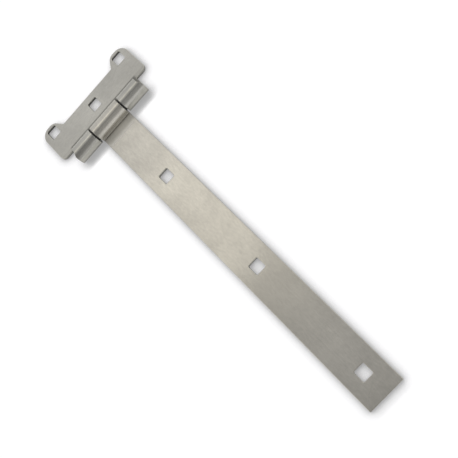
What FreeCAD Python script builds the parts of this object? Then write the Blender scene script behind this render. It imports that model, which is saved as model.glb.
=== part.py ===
import FreeCAD, Part
import math
import os

# Cross hinge with a long band, in millimetres.
# The flat backs of both leaves lie in the plane z = 0 and their fronts face +Z.
# The pin runs along Y above the origin. The band reaches out along +X, the cross plate along -X.

# Sheet, pin and knuckles.
sheet = 2.5                 # thickness of the strip that both leaves are cut from
pin_diameter = 10.0
running_gap = 0.08          # radial clearance of the pin in its rolled knuckles
seam_gap = 0.1              # between the end of each roll and the front of its own leaf
knuckle_gap = 1.6           # between neighbouring knuckles, along the pin
plate_knuckle = 21.9        # length of each of the plate's two knuckles along the pin
pin_setback = 2.5           # from the outer end of the knuckles to the end of the pin
pin_chamfer = 0.5

# The narrowed tip of each of the plate's rolls, at its outer end.
tip_notch = 2.0             # how far the tip stops short of the knuckle's outer end
tip_start = 4.0             # from the pin's axis towards the band, to where the slope starts
tip_slope = 3.5             # length of the slope that leads to the tip, across the pin

# Square holes for the necks of coach bolts.
square_hole = 9.0
hole_corner = 1.0

# Band.
band_width = 30.0
band_reach = 287.5          # from the pin's axis to the free end
band_hole_pitch = 100.0
band_hole_count = 3
band_hole_inset = 20.0      # from the free end to the last hole
band_end_corner = 0.8

# Cross plate.
plate_length = 100.0        # along the pin
plate_width = 24.1          # from the near edge to the far edge
near_clearance = 3.0        # from the band's knuckle to the plate's near edge
near_corner = 4.5
lobe_reach = 8.7            # how far each lobe stands out past the far edge
lobe_width = 14.7           # from the plate's end to where the lobe starts to slope
lobe_slope = 5.8            # how far along the pin each lobe's slope runs
lobe_outer_corner = 8.5
lobe_inner_corner = 6.8
neck_corner = 1.2           # hollow corner where a lobe's slope meets the far edge
lobe_hole_inset = 10.0      # from the plate's end to the hole's centre
lobe_hole_setback = 7.1     # from the lobe's outer edge to the hole's centre
middle_hole_setback = 10.5  # from the far edge to the hole's centre

# Rolled-over front edges left by stamping.
edge_round = 0.4

# Places worked out from the sizes above.
pin_radius = pin_diameter / 2
bore_radius = pin_radius + running_gap
roll_radius = bore_radius + sheet
pin_height = roll_radius
roll_end_angle = math.asin((pin_height - sheet - seam_gap) / roll_radius)
near_x = -(roll_radius + near_clearance)
far_x = near_x - plate_width
lobe_x = far_x - lobe_reach
knuckle_start = band_width / 2 + knuckle_gap
knuckle_end = knuckle_start + plate_knuckle
plate_end = plate_length / 2


def rounded_outline(corners):
    """A closed flat outline through corners (x, y, radius), each one rounded by its own radius."""
    points = [FreeCAD.Vector(x, y, 0) for x, y, radius in corners]
    bends = []
    for index, (x, y, radius) in enumerate(corners):
        point = points[index]
        back = (points[index - 1] - point).normalize()
        ahead = (points[(index + 1) % len(points)] - point).normalize()
        half_angle = back.getAngle(ahead) / 2
        cut = radius / math.tan(half_angle)
        inwards = (back + ahead).normalize()
        middle = point + inwards * (radius / math.sin(half_angle) - radius)
        bends.append((point + back * cut, middle, point + ahead * cut, radius))
    edges = []
    for index, (start, middle, end, radius) in enumerate(bends):
        if radius > 0:
            edges.append(Part.Arc(start, middle, end).toShape())
        following = bends[(index + 1) % len(bends)][0]
        edges.append(Part.LineSegment(end, following).toShape())
    return Part.Wire(edges)


def flat_leaf(corners):
    """A flat piece of the sheet, from its back at z = 0 to its front."""
    return Part.Face(rounded_outline(corners)).extrude(FreeCAD.Vector(0, 0, sheet))


def square_punch(x, y):
    """The slug that a square punch with softened corners knocks out at x, y."""
    half = square_hole / 2
    sides = [(-half, -half), (half, -half), (half, half), (-half, half)]
    outline = rounded_outline([(x + dx, y + dy, hole_corner) for dx, dy in sides])
    outline.translate(FreeCAD.Vector(0, 0, -sheet))
    return Part.Face(outline).extrude(FreeCAD.Vector(0, 0, 3 * sheet))


def soften_front(leaf, is_free):
    """Round the front edges of a flat leaf wherever is_free says that the edge is a stamped one."""
    front = [
        edge for edge in leaf.Edges
        if abs(edge.CenterOfMass.z - sheet) < sheet / 100 and is_free(edge.CenterOfMass)
    ]
    return leaf.makeFillet(min(edge_round, sheet / 3), front)


def knuckle(y_start, y_end, side):
    """The rolled end of a leaf, from the back plane round the pin to just above the leaf's front.

    side is +1 for the leaf that lies along +X and -1 for the one along -X.
    """
    def around(radius, angle):
        return FreeCAD.Vector(side * radius * math.cos(angle), y_start, pin_height + radius * math.sin(angle))

    last = -roll_end_angle
    middle = (last + 1.5 * math.pi) / 2
    first = 1.5 * math.pi
    outer = Part.Arc(around(roll_radius, first), around(roll_radius, middle), around(roll_radius, last))
    inner = Part.Arc(around(bore_radius, last), around(bore_radius, middle), around(bore_radius, first))
    tip = Part.LineSegment(around(roll_radius, last), around(bore_radius, last))
    root = Part.LineSegment(around(bore_radius, first), around(roll_radius, first))
    profile = Part.Wire([outer.toShape(), tip.toShape(), inner.toShape(), root.toShape()])
    return Part.Face(profile).extrude(FreeCAD.Vector(0, y_end - y_start, 0))


def tip_cut(end):
    """What is missing from the tip of a plate knuckle at its outer end, where end is +1 or -1."""
    inner = end * (knuckle_end - tip_notch)
    outer = end * (knuckle_end + roll_radius)
    clear_x = -2 * roll_radius
    over_top = [
        (tip_start, outer), (tip_start, end * knuckle_end), (tip_start - tip_slope, inner), (clear_x, inner),
        (clear_x, outer),
    ]
    down_side = [(0, outer), (0, inner), (clear_x, inner), (clear_x, outer)]
    front = sheet + seam_gap / 2
    cuts = []
    for outline, z_low, z_high in ((over_top, pin_height, 3 * roll_radius), (down_side, front, pin_height)):
        corners = [FreeCAD.Vector(x, y, z_low) for x, y in outline]
        face = Part.Face(Part.makePolygon(corners + corners[:1]))
        cuts.append(face.extrude(FreeCAD.Vector(0, 0, z_high - z_low)))
    return cuts[0].fuse(cuts[1])


def hinge_plate():
    """The cross leaf: lobed plate, its two tabs and the two outer knuckles, all from one sheet."""
    half = [
        (near_x, knuckle_start, 0),
        (0, knuckle_start, 0),
        (0, knuckle_end, 0),
        (near_x, knuckle_end, 0),
        (near_x, plate_end, near_corner),
        (lobe_x, plate_end, lobe_outer_corner),
        (lobe_x, plate_end - lobe_width, lobe_inner_corner),
        (far_x, plate_end - lobe_width - lobe_slope, neck_corner),
    ]
    mirrored = [(x, -y, radius) for x, y, radius in reversed(half)]
    leaf = soften_front(flat_leaf(half + mirrored), lambda place: place.x < near_x + sheet / 100)
    for end in (1, -1):
        y_low, y_high = sorted((end * knuckle_start, end * knuckle_end))
        leaf = leaf.fuse(knuckle(y_low, y_high, -1).cut(tip_cut(end)))
        leaf = leaf.cut(square_punch(lobe_x + lobe_hole_setback, end * (plate_end - lobe_hole_inset)))
    return leaf.cut(square_punch(far_x + middle_hole_setback, 0)).removeSplitter()


def band():
    """The long leaf: straight strap with its middle knuckle, all from one sheet."""
    half_width = band_width / 2
    corners = [
        (0, -half_width, 0),
        (band_reach, -half_width, band_end_corner),
        (band_reach, half_width, band_end_corner),
        (0, half_width, 0),
    ]
    leaf = soften_front(flat_leaf(corners), lambda place: place.x > 0)
    leaf = leaf.fuse(knuckle(-half_width, half_width, 1))
    for index in range(band_hole_count):
        leaf = leaf.cut(square_punch(band_reach - band_hole_inset - index * band_hole_pitch, 0))
    return leaf.removeSplitter()


def hinge_pin():
    """The plain pin that all three knuckles are rolled round."""
    reach = knuckle_end - pin_setback
    pin = Part.makeCylinder(
        pin_radius, 2 * reach, FreeCAD.Vector(0, -reach, pin_height), FreeCAD.Vector(0, 1, 0)
    )
    rims = [edge for edge in pin.Edges if edge.isClosed()]
    return pin.makeChamfer(pin_chamfer, rims)


os.makedirs("parts", exist_ok=True)
for build in (hinge_plate, band, hinge_pin):
    piece = build()
    name = build.__name__
    piece.Solids[0].exportStep(f"parts/{name}.step")
    box = piece.BoundBox
    print(
        f"{name}: solids {len(piece.Solids)}, valid {piece.isValid()}, volume {piece.Volume:.1f} mm3, "
        f"x {box.XMin:.2f} {box.XMax:.2f}, y {box.YMin:.2f} {box.YMax:.2f}, z {box.ZMin:.2f} {box.ZMax:.2f}"
    )
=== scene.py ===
import math
import bmesh
import bpy
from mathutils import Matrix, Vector
from mathutils.geometry import delaunay_2d_cdt


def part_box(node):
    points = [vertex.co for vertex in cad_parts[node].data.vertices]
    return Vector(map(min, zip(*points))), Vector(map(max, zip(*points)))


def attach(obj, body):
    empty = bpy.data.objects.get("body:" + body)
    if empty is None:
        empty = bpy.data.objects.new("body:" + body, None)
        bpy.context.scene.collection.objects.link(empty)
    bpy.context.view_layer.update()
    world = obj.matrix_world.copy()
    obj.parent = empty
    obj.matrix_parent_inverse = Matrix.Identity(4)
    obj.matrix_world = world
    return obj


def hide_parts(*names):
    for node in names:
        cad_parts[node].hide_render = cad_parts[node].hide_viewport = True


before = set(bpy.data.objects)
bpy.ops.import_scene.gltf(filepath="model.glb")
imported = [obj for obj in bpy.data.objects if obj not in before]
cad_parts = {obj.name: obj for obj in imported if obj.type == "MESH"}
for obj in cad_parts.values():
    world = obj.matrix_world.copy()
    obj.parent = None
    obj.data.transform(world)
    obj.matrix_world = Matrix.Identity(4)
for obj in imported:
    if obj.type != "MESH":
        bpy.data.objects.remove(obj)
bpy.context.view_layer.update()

# Cross plate. It is stamped from 2.5 mm strip steel with a lobe at each end of its far edge, three square
# holes and two tabs, then zinc plated. The tabs are rolled cold round the pin and close on the front.
sheet = 0.0025
front_round = 0.00045       # edge that the punch draws in
front_steps = 4
back_round = 0.00015        # edge on the die side, nearly sharp
back_steps = 2
bend_step = math.radians(9)
plate_low, plate_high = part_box("hinge_plate")
pin_low, pin_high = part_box("hinge_pin")
band_low, band_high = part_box("band")
pin_height = (pin_low.z + pin_high.z) / 2
roll_radius = plate_high.z / 2
bore_radius = roll_radius - sheet
seam_gap = 0.0001
roll_sweep = 1.5 * math.pi + math.asin((pin_height - sheet - seam_gap) / roll_radius)
roll_length = roll_sweep * (roll_radius - sheet / 2)
roll_step = math.radians(4)

near_reach = 0.01058        # from the pin's axis to the plate's near edge
plate_width = 0.0241
far_reach = near_reach + plate_width
lobe_reach = -plate_low.x
plate_end = plate_high.y
near_corner = 0.0045
lobe_outer_corner = 0.0085
lobe_inner_corner = 0.0068
lobe_width = 0.0147
lobe_slope = 0.0058         # how far along the pin each lobe's slope runs
neck_corner = 0.0012
tab_corner = 0.0009         # hollow corner beside each tab
knuckle_gap = 0.0016
plate_knuckle = 0.0219      # length of each of the plate's knuckles along the pin
knuckle_start = band_high.y + knuckle_gap
knuckle_end = knuckle_start + plate_knuckle
tip_notch = 0.002
notch_start = math.radians(148)     # where the notch starts, as the turn round the pin from the tab's root
notch_turn = math.radians(28)
tip_corner = 0.0004
square_hole = 0.009
hole_corner = 0.001
lobe_hole_setback = 0.0071
lobe_hole_inset = 0.01
middle_hole_setback = 0.0105
lobe_hole_reach = lobe_reach - lobe_hole_setback
lobe_hole_side = plate_end - lobe_hole_inset
middle_hole_reach = far_reach - middle_hole_setback
flat_weight = 90            # how far flat faces outweigh narrow ones where the shading is smoothed


def outline_at(corners, inset):
    """The outline through corners (x, y, radius), moved inset into the steel, which lies on its left."""
    points = []
    for index, (x, y, radius) in enumerate(corners):
        here = Vector((x, y))
        arriving = (here - Vector(corners[index - 1][:2])).normalized()
        leaving = (Vector(corners[(index + 1) % len(corners)][:2]) - here).normalized()
        turn = math.atan2(arriving.cross(leaving), arriving.dot(leaving))
        start_left = Vector((-arriving.y, arriving.x))
        left = (start_left + Vector((-leaving.y, leaving.x))).normalized()
        moved = here + left * (inset / math.cos(turn / 2))
        if radius == 0:
            points.append(moved)
            continue
        side = math.copysign(1, turn)
        least_bend = radius / 20
        bend = max(radius - side * inset, least_bend)
        centre = moved + left * (side * bend / math.cos(turn / 2))
        steps = max(3, round(abs(turn) / bend_step))
        for step in range(steps + 1):
            angle = turn * step / steps
            cos, sin = math.cos(angle), math.sin(angle)
            spoke = Vector((start_left.x * cos - start_left.y * sin, start_left.x * sin + start_left.y * cos))
            points.append(centre - spoke * (side * bend))
    return points


def square_at(x, y):
    """Corners of a square hole, clockwise, so that the steel lies on the left."""
    half = square_hole / 2
    sides = [(-half, -half), (-half, half), (half, half), (half, -half)]
    return [(x + dx, y + dy, hole_corner) for dx, dy in sides]


def edge_section():
    """Points (inset, depth) up a stamped edge, from the back face to the front face."""
    quarter = math.pi / 2
    section = []
    for step in range(back_steps + 1):
        angle = quarter * step / back_steps
        section.append((back_round * (1 - math.sin(angle)), back_round * (1 - math.cos(angle))))
    for step in range(front_steps + 1):
        angle = quarter * step / front_steps
        section.append((front_round * (1 - math.cos(angle)), sheet - front_round * (1 - math.sin(angle))))
    return section


def fill_face(shape, loops, is_front):
    """Close the flat face inside the first loop with even triangles. The other loops are holes."""
    corners = [vertex for loop in loops for vertex in loop]
    owners = [number for number, loop in enumerate(loops) for vertex in loop]
    edges = []
    for loop in loops:
        first = len(edges)
        edges += [(first + index, first + (index + 1) % len(loop)) for index in range(len(loop))]
    inside_outlines = 1
    same_place = 1e-9
    filled = delaunay_2d_cdt([vertex.co.xy for vertex in corners], edges, [], inside_outlines, same_place)
    sources = filled[3]
    for triangle in filled[2]:
        indices = [sources[index][0] for index in triangle]
        met = {owners[index] for index in indices}
        if len(met) == 1 and 0 not in met:
            continue
        face = [corners[index] for index in indices]
        shape.faces.new(face if is_front else reversed(face))


def rolled_leaf(name, outline, holes, side, finishes):
    """A leaf made as the real one is: a flat blank with holes, whose end beyond x = 0 is rolled up.

    The blank lies along +X; side is -1 for the leaf that is turned over to lie along -X. finishes are those
    of its faces, of its outer edge, of its holes' walls and of the sides of its knuckles.
    """
    on_edge, in_hole, on_roll = 1, 2, 3
    shape = bmesh.new()
    section = edge_section()
    rims = {0: [], len(section) - 1: []}
    for corners in [outline, *holes]:
        rings = [
            [shape.verts.new((point.x, point.y, depth)) for point in outline_at(corners, inset)]
            for inset, depth in section
        ]
        for level, (low, high) in enumerate(zip(rings, rings[1:])):
            for index in range(len(low)):
                after = (index + 1) % len(low)
                face = shape.faces.new((low[index], low[after], high[after], high[index]))
                if level == back_steps:
                    face.material_index = on_edge if corners is outline else in_hole
        for level, loops in rims.items():
            loops.append(rings[level])
    for level, loops in rims.items():
        fill_face(shape, loops, level > 0)
    turn = 0
    while turn < roll_sweep:
        everything = shape.verts[:] + shape.edges[:] + shape.faces[:]
        place = (-turn / roll_sweep * roll_length, 0, 0)
        bmesh.ops.bisect_plane(shape, geom=everything, plane_co=place, plane_no=(1, 0, 0))
        turn += roll_step
    for face in shape.faces:
        if face.material_index == on_edge and face.calc_center_median().x < 0:
            face.material_index = on_roll
    for vertex in shape.verts:
        x, y, depth = vertex.co
        if x < 0:
            angle = 1.5 * math.pi + x / roll_length * roll_sweep
            reach = roll_radius - depth
            vertex.co = (reach * math.cos(angle), y, pin_height + reach * math.sin(angle))
        vertex.co.x *= side
    if side < 0:
        bmesh.ops.reverse_faces(shape, faces=shape.faces[:])
    mesh = bpy.data.meshes.new(name)
    shape.to_mesh(mesh)
    shape.free()
    for finish in finishes:
        mesh.materials.append(finish)
    mesh.shade_smooth()
    leaf = bpy.data.objects.new(name, mesh)
    bpy.context.scene.collection.objects.link(leaf)
    level_faces = leaf.modifiers.new("flat faces stay flat", "WEIGHTED_NORMAL")
    level_faces.weight = flat_weight
    return leaf


class Signal:
    """A shader socket for sums in Python: each operator adds one Math node to the same tree."""

    def __init__(self, tree, socket):
        self.tree = tree
        self.socket = socket

    @classmethod
    def add(cls, tree, kind, settings, inputs, output=0):
        """Any node: its settings are set first, then each named socket gets a value or a link."""
        node = tree.nodes.new(kind)
        for name, value in settings.items():
            if name == "stops":
                ramp = node.color_ramp.elements
                while len(ramp) < len(value):
                    ramp.new(1)
                for element, (place, colour) in zip(ramp, value):
                    element.position = place
                    element.color = colour
            else:
                setattr(node, name, value)
        for name, value in inputs.items():
            if isinstance(value, cls):
                tree.links.new(value.socket, node.inputs[name])
            else:
                node.inputs[name].default_value = value
        return cls(tree, node.outputs[output])

    def sum(self, operation, first, second):
        return Signal.add(self.tree, "ShaderNodeMath", {"operation": operation}, {0: first, 1: second})

    def __add__(self, other):
        return self.sum("ADD", self, other)

    __radd__ = __add__

    def __mul__(self, other):
        return self.sum("MULTIPLY", self, other)

    def __sub__(self, other):
        return self.sum("SUBTRACT", self, other)

    def __rsub__(self, other):
        return self.sum("SUBTRACT", other, self)

    def __abs__(self):
        return self.sum("ABSOLUTE", self, 0)


def eased(value, start, end, first, last):
    """A signal that goes softly from first to last while value goes from start to end."""
    return Signal.add(
        value.tree, "ShaderNodeMapRange", {"interpolation_type": "SMOOTHSTEP"},
        {"Value": value, "From Min": start, "From Max": end, "To Min": first, "To Max": last}
    )


def mixed(share, first, second):
    """The first colour with that share of the second in it."""
    return Signal.add(
        share.tree, "ShaderNodeMix", {"data_type": "RGBA"},
        {"Factor": share, "A": first, "B": second}, "Result"
    )


def plated_steel(name, pale, deep, smoothness, grain, root_painted_light=0.0):
    """Zinc-plated strip: cloudy between two tones, with the strip's fine rolling grain along one axis.

    root_painted_light is the share of its shine that the front loses where it runs in under the band's
    knuckle; there the front is also painted a little lighter, as painted light.
    """
    material = bpy.data.materials.new(name)
    material.use_nodes = True
    tree = material.node_tree
    tree.nodes.clear()
    place = Signal.add(tree, "ShaderNodeTexCoord", {}, {}, "Object")
    drawn = Signal.add(tree, "ShaderNodeMapping", {}, {"Vector": place, "Scale": grain})
    cloud = Signal.add(
        tree, "ShaderNodeTexNoise", {}, {"Vector": place, "Scale": 32, "Detail": 3, "Roughness": 0.55}
    )
    streak = Signal.add(
        tree, "ShaderNodeTexNoise", {}, {"Vector": drawn, "Scale": 700, "Detail": 2, "Roughness": 0.6}
    )
    speck = Signal.add(
        tree, "ShaderNodeTexNoise", {}, {"Vector": place, "Scale": 2600, "Detail": 2, "Roughness": 0.5}
    )
    tone = mixed(cloud * 0.9 + streak * 0.5 - 0.2, pale, deep)
    place_x = Signal.add(tree, "ShaderNodeSeparateXYZ", {}, {"Vector": place}, "X")
    place_y = Signal(tree, place_x.socket.node.outputs["Y"])
    place_z = Signal(tree, place_x.socket.node.outputs["Z"])

    # Painted shade: the crevice between the plate and its knuckles is painted dark where shade falls, and
    # this clears towards the plate's ends.
    crevice_x = -0.0093
    crevice_shade_tone = (0.06, 0.058, 0.05, 1)
    painted_crevice_shade = eased(abs(place_x - crevice_x), 0.0036, 0.0053, 0.75, 0)
    along_knuckles = eased(abs(place_y), 0.037, 0.04, 1, 0.15)
    tone = mixed(painted_crevice_shade * along_knuckles, tone, crevice_shade_tone)

    # Painted light: the strip's front is painted a little lighter at the root of the band's knuckle, and is
    # duller there, for the soft light and shade under the knuckle's overhang.
    metal = 0.82
    root_x = 0.0105
    painted_root_light_tone = (0.74, 0.72, 0.66, 1)
    painted_light_share = 0.22
    at_root = eased(abs(place_x - root_x), 0.003, 0.0055, root_painted_light, 0)
    below_bulge = eased(place_z, 0.0026, 0.0105, 1, 0)
    above_back = eased(place_z, 0.0005, 0.002, 0, 1)
    painted_root_mask = at_root * below_bulge * above_back
    tone = mixed(painted_root_mask * painted_light_share, tone, painted_root_light_tone)
    shine = metal - painted_root_mask * metal
    rough = 1 - smoothness + (cloud - 0.5) * 0.06 + (streak - 0.5) * 0.08
    grainy = Signal.add(
        tree, "ShaderNodeBump", {}, {"Height": streak + speck, "Strength": 0.25, "Distance": 0.00002}
    )
    steel = Signal.add(
        tree, "ShaderNodeBsdfPrincipled", {},
        {"Base Color": tone, "Metallic": shine, "Roughness": rough, "Normal": grainy}
    )
    output = tree.nodes.new("ShaderNodeOutputMaterial")
    tree.links.new(steel.socket, output.inputs["Surface"])
    return material


plate_finish = plated_steel(
    "plate steel", (0.471, 0.460, 0.408, 1), (0.268, 0.262, 0.234, 1), smoothness=0.86, grain=(1, 0.4, 1)
)
sheared_finish = plated_steel(
    "sheared edge", (0.37, 0.357, 0.323, 1), (0.30, 0.29, 0.264, 1), smoothness=0.55, grain=(1, 1, 0.1)
)
# Painted shade: the walls of the plate's holes and the cut sides of the knuckles are painted nearly black,
# for the shade that falls into holes and gaps.
cut_wall_painted_shade = plated_steel(
    "punched wall in painted shade", (0.14, 0.135, 0.122, 1), (0.09, 0.088, 0.08, 1), smoothness=0.55, grain=(1, 1, 0.1)
)
half_outline = [
    (far_reach, plate_end - lobe_width - lobe_slope, neck_corner),
    (lobe_reach, plate_end - lobe_width, lobe_inner_corner),
    (lobe_reach, plate_end, lobe_outer_corner),
    (near_reach, plate_end, near_corner),
    (near_reach, knuckle_end, tab_corner),
    (-notch_start / roll_sweep * roll_length, knuckle_end, tip_corner),
    (-(notch_start + notch_turn) / roll_sweep * roll_length, knuckle_end - tip_notch, tip_corner),
    (-roll_length, knuckle_end - tip_notch, tip_corner),
    (-roll_length, knuckle_start, tip_corner),
    (near_reach, knuckle_start, tab_corner),
]
plate_outline = half_outline + [(x, -y, radius) for x, y, radius in reversed(half_outline)]
plate_holes = [
    square_at(lobe_hole_reach, -lobe_hole_side),
    square_at(middle_hole_reach, 0),
    square_at(lobe_hole_reach, lobe_hole_side),
]
plate_finishes = [plate_finish, sheared_finish, cut_wall_painted_shade, cut_wall_painted_shade]
plate = rolled_leaf("rolled_plate", plate_outline, plate_holes, -1, plate_finishes)
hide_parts("hinge_plate")
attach(plate, "cross_plate")

# Band. A straight length of the same strip, 30 mm wide, cut square at its free end and punched with three
# square holes. Its other end is rolled to the middle knuckle, which turns freely on the pin.
band_half = band_high.y
band_corner = 0.0008
hole_pitch = 0.1
hole_count = 3
hole_inset = 0.02
# Its front carries painted light at the root of its knuckle.
band_finish = plated_steel(
    "band steel", (0.49, 0.470, 0.406, 1), (0.297, 0.285, 0.251, 1), smoothness=0.86, grain=(0.4, 1, 1),
    root_painted_light=0.85
)
band_outline = [
    (-roll_length, -band_half, tip_corner),
    (band_high.x, -band_half, band_corner),
    (band_high.x, band_half, band_corner),
    (-roll_length, band_half, tip_corner),
]
band_holes = [square_at(band_high.x - hole_inset - index * hole_pitch, 0) for index in range(hole_count)]
band_finishes = [band_finish, sheared_finish, sheared_finish, cut_wall_painted_shade]
strap = rolled_leaf("rolled_band", band_outline, band_holes, 1, band_finishes)
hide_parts("band")
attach(strap, "swinging_band")

# Hinge pin. A length of drawn steel rod with chamfered ends, held by the plate's two knuckles.
# Only its ends show, inside the rolls. Its steel is painted nearly black: painted shade for the dark inside
# the rolls and in the gaps between the knuckles.
pin_radius = (pin_high.z - pin_low.z) / 2
pin_chamfer = 0.0005
pin_cap = 0.3 * pin_radius
pin_sides = 96
# Painted shade: the pin's steel is nearly black.
pin_painted_shade_finish = plated_steel(
    "drawn pin steel in painted shade", (0.07, 0.068, 0.064, 1), (0.04, 0.039, 0.036, 1), smoothness=0.5, grain=(1, 0.1, 1)
)
rod = bmesh.new()
pin_profile = [
    (pin_low.y, pin_cap),
    (pin_low.y, pin_radius - pin_chamfer),
    (pin_low.y + pin_chamfer, pin_radius),
    (pin_high.y - pin_chamfer, pin_radius),
    (pin_high.y, pin_radius - pin_chamfer),
    (pin_high.y, pin_cap),
]
pin_rings = []
for y, radius in pin_profile:
    ring = []
    for index in range(pin_sides):
        angle = math.tau * index / pin_sides
        ring.append(rod.verts.new((radius * math.sin(angle), y, pin_height + radius * math.cos(angle))))
    pin_rings.append(ring)
for low, high in zip(pin_rings, pin_rings[1:]):
    for index in range(pin_sides):
        after = (index + 1) % pin_sides
        rod.faces.new((low[index], high[index], high[after], low[after]))
rod.faces.new(pin_rings[0])
rod.faces.new(pin_rings[-1])
bmesh.ops.recalc_face_normals(rod, faces=rod.faces[:])
pin_mesh = bpy.data.meshes.new("turned_pin")
rod.to_mesh(pin_mesh)
rod.free()
pin_mesh.materials.append(pin_painted_shade_finish)
pin_mesh.shade_smooth()
pin = bpy.data.objects.new("turned_pin", pin_mesh)
bpy.context.scene.collection.objects.link(pin)
pin_normals = pin.modifiers.new("flat ends stay flat", "WEIGHTED_NORMAL")
pin_normals.weight = flat_weight
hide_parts("hinge_pin")
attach(pin, "cross_plate")

# Floor. A wide sheet of pale card just under the hinge, which shows white where no shadow falls on it.
# Painted shade: the card's colour is darkened close to the steel, a little farther on the band's side of an
# edge. Painted light: where the steel shuts out more of the studio, the card glows a little more for the
# camera.
floor_half = 6.0
floor_drop = 0.0003
floor_mesh = bpy.data.meshes.new("floor")
floor_corners = [
    (-floor_half, -floor_half), (floor_half, -floor_half), (floor_half, floor_half), (-floor_half, floor_half)
]
floor_mesh.from_pydata([(x, y, -floor_drop) for x, y in floor_corners], [], [(0, 1, 2, 3)])
floor = bpy.data.objects.new("floor", floor_mesh)
bpy.context.scene.collection.objects.link(floor)
card = bpy.data.materials.new("pale card")
card.use_nodes = True
card_tree = card.node_tree
card_tree.nodes.clear()
path = Signal.add(card_tree, "ShaderNodeLightPath", {}, {}, "Is Camera Ray")
seen = path + Signal(card_tree, path.socket.node.outputs["Is Glossy Ray"])
seen = seen + Signal(card_tree, path.socket.node.outputs["Is Transmission Ray"])
upright = Signal.add(card_tree, "ShaderNodeNewGeometry", {}, {}, "Normal")
toward_plate = (-0.27, 0, 0)
tilted = Signal.add(card_tree, "ShaderNodeVectorMath", {}, {0: upright, 1: toward_plate})
close = Signal.add(
    card_tree, "ShaderNodeAmbientOcclusion", {"samples": 8}, {"Distance": 0.0076, "Normal": tilted}, "AO"
)
wide = Signal.add(card_tree, "ShaderNodeAmbientOcclusion", {"samples": 8}, {"Distance": 0.05}, "AO")
card_tone = 0.95
painted_shade_depth = 0.71
glow = 0.1
painted_light_near_steel = 0.85
# Painted shade, taken from the occlusion close by.
shade = close * close * close * painted_shade_depth + (1 - painted_shade_depth)
# An even glow, plus painted light where the wide occlusion is deep.
glow_and_painted_light = seen * (glow + shade * (painted_light_near_steel - wide * painted_light_near_steel))
card_face = Signal.add(
    card_tree, "ShaderNodeBsdfPrincipled", {},
    {
        "Base Color": shade * card_tone, "Roughness": 1.0, "Specular IOR Level": 0.0,
        "Emission Color": glow_and_painted_light, "Emission Strength": 1.0,
    }
)
card_out = card_tree.nodes.new("ShaderNodeOutputMaterial")
card_tree.links.new(card_face.socket, card_out.inputs["Surface"])
floor_mesh.materials.append(card)

# Light. A white studio, brighter on the plate's side. Long soft panels and a dim gap overhead, all running
# along the pin, draw the bands on the knuckles. They grow dimmer along the pin, away from a line that lies
# a little to one side of overhead.
world = bpy.data.worlds.new("studio")
bpy.context.scene.world = world
world.use_nodes = True
sky = world.node_tree
sky.nodes.clear()
direction = Signal.add(sky, "ShaderNodeTexCoord", {}, {}, "Generated")
toward_x = Signal.add(sky, "ShaderNodeSeparateXYZ", {}, {"Vector": direction}, "X")
toward_y = Signal(sky, toward_x.socket.node.outputs["Y"])
toward_z = Signal(sky, toward_x.socket.node.outputs["Z"])
lean = toward_x.sum("ARCTAN2", toward_x, toward_z)
# Each stop gives the lean towards the band in degrees, the level and the warmth.
panel_stops = [
    (-90, 1.1, 0), (-55, 1.1, 0), (-38.5, 1.22, 0), (-36.3, 1.07, 0.2), (-31, 1.63, 0.6),
    (-26, 1.8, 1.2), (-22, 1.63, 1.2), (-17.5, 1.59, 1.2), (-14, 0.86, 0.9), (-10, 0.83, 0.4),
    (-6.5, 0.77, 0), (-4, 0.79, 0), (-1, 0.74, 0), (3.5, 0.42, 0), (8, 0.37, 0),
    (20, 0.56, 0), (45, 0.64, 0), (56, 0.9, 0), (65, 1.38, 0), (82, 1.5, 0),
    (90, 1.25, 0),
]
green_loss = 0.018
cool_blue = 1.04
blue_loss = 0.07
panels = Signal.add(
    sky, "ShaderNodeValToRGB",
    {
        "stops": [
            (
                degrees / 180 + 0.5,
                (level, level * (1 - green_loss * warmth), level * (cool_blue - blue_loss * warmth), 1)
            )
            for degrees, level, warmth in panel_stops
        ]
    },
    {0: lean * (1 / math.pi) + 0.5}
)
black = (0, 0, 0, 1)
panel_end = eased(toward_y, -0.155, -0.10, 0.5, 0)
band_side = eased(toward_x, 0.02, 0.3, 0, 1)
over_horizon = eased(toward_z, 0.05, 0.15, 0, 1)
panels = mixed(panel_end * band_side * over_horizon, panels, black)
middle_y = -0.09
fading = eased(abs(toward_y - middle_y), 0.02, 0.08, 0, 0.18)
panels = mixed(fading, panels, black)
off_panels = eased(abs(toward_y), 0.3, 0.6, 0, 1)
wall_level = 1.3
wall_slope = 0.3
around = mixed(off_panels, panels, wall_level - toward_x * wall_slope)
studio = Signal.add(sky, "ShaderNodeBackground", {}, {"Color": around, "Strength": 1.0})
sky_out = sky.nodes.new("ShaderNodeOutputWorld")
sky.links.new(studio.socket, sky_out.inputs["Surface"])

# Camera. It looks down from over the band's free end, as the photograph was taken.
lens = bpy.data.cameras.new("camera")
lens.sensor_width = 36
lens.lens = 48.12
camera = bpy.data.objects.new("camera", lens)
camera.location = (0.28557, 0.04669, 0.41122)
camera.rotation_euler = (math.radians(10.362), math.radians(18.488), math.radians(45.35))
bpy.context.scene.collection.objects.link(camera)
bpy.context.scene.camera = camera
bpy.context.scene.view_settings.view_transform = "Standard"
